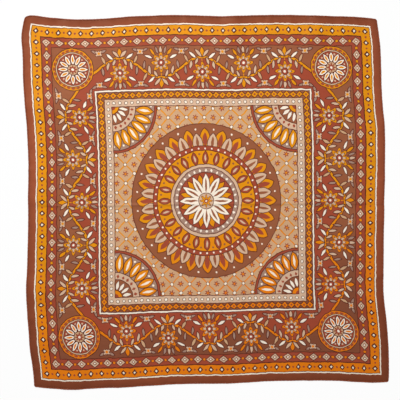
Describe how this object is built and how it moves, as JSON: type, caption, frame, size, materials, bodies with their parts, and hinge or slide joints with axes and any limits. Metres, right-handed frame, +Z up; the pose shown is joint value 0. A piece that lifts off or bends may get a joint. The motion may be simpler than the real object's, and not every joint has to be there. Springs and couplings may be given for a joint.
{
  "type": "silk square scarf",
  "caption": "Large printed silk twill square, laid out flat and face up, with a plump hand-rolled hem along each side.",
  "frame": {"origin": "centre of the scarf's box, on the surface that it lies on", "axes": "+Z up, out of the printed face; +X along the bottom hem; +Y up the side hems"},
  "size_m": [0.913, 0.9312, 0.0092],
  "materials": {
    "printed_twill": "silk twill, screen printed in brick red, orange, brown, taupe and cream, with a soft sheen",
    "rolled_edge": "the same twill in its plain brick red edge, rolled and hand stitched"
  },
  "bodies": {
    "root": {"silk_square": "printed_twill", "hem_top": "rolled_edge", "hem_bottom": "rolled_edge", "hem_left": "rolled_edge", "hem_right": "rolled_edge"}
  },
  "joints": []
}
